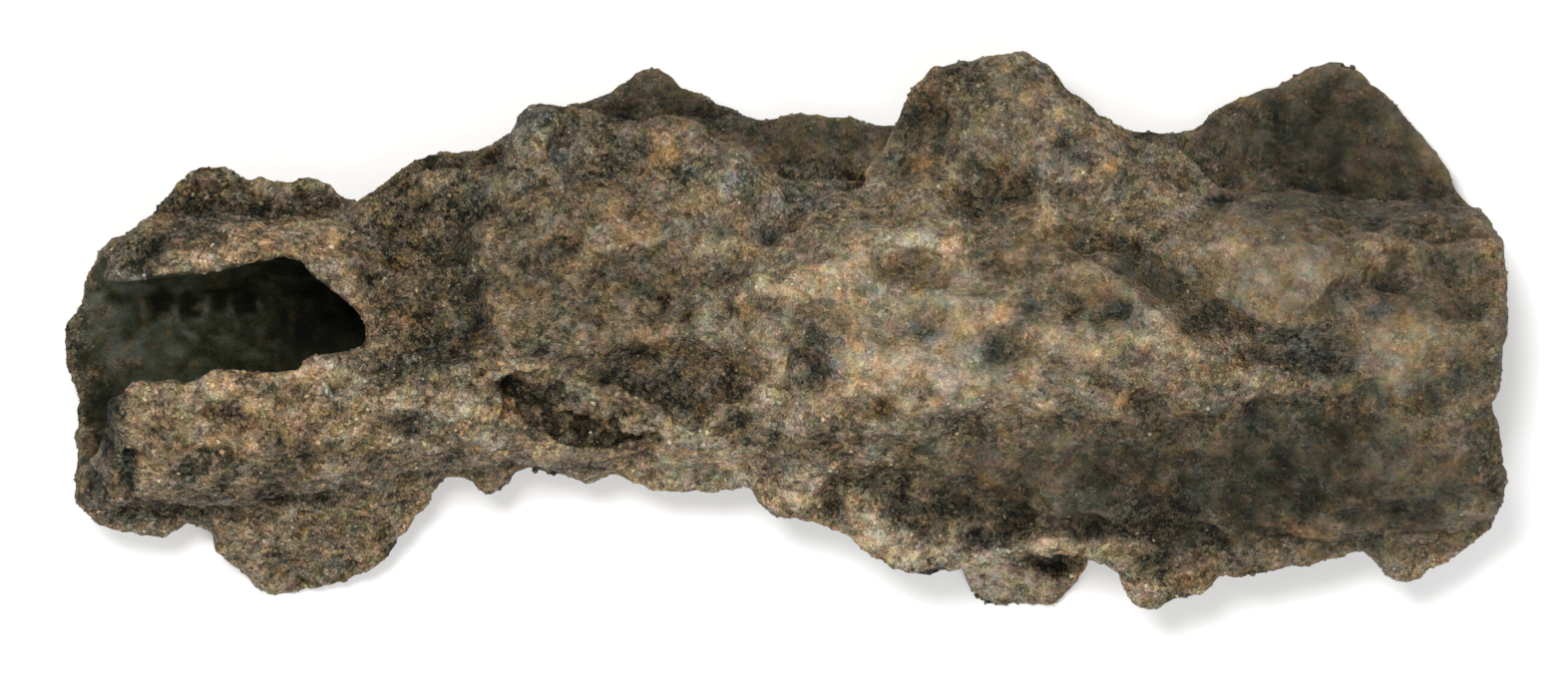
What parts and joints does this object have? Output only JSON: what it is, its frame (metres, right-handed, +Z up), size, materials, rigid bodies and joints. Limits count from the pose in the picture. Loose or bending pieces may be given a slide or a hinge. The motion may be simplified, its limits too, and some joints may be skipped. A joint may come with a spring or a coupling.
{
  "type": "fulgurite",
  "caption": "Ragged tube of sand fused by lightning, lying on its back, hollow from end to end, with a broken window at one end and jagged wings along both sides.",
  "frame": {"origin": "centre of the bounding box at its lowest level, on the surface that the piece lies on", "axes": "+X along the tube towards its wide end, +Y towards the taller wings, +Z up, out of the face with the window"},
  "size_m": [0.0906, 0.0352, 0.0185],
  "materials": {
    "fused_sand": "matte"
  },
  "bodies": {
    "root": {"fulgurite": "fused_sand"}
  },
  "joints": []
}
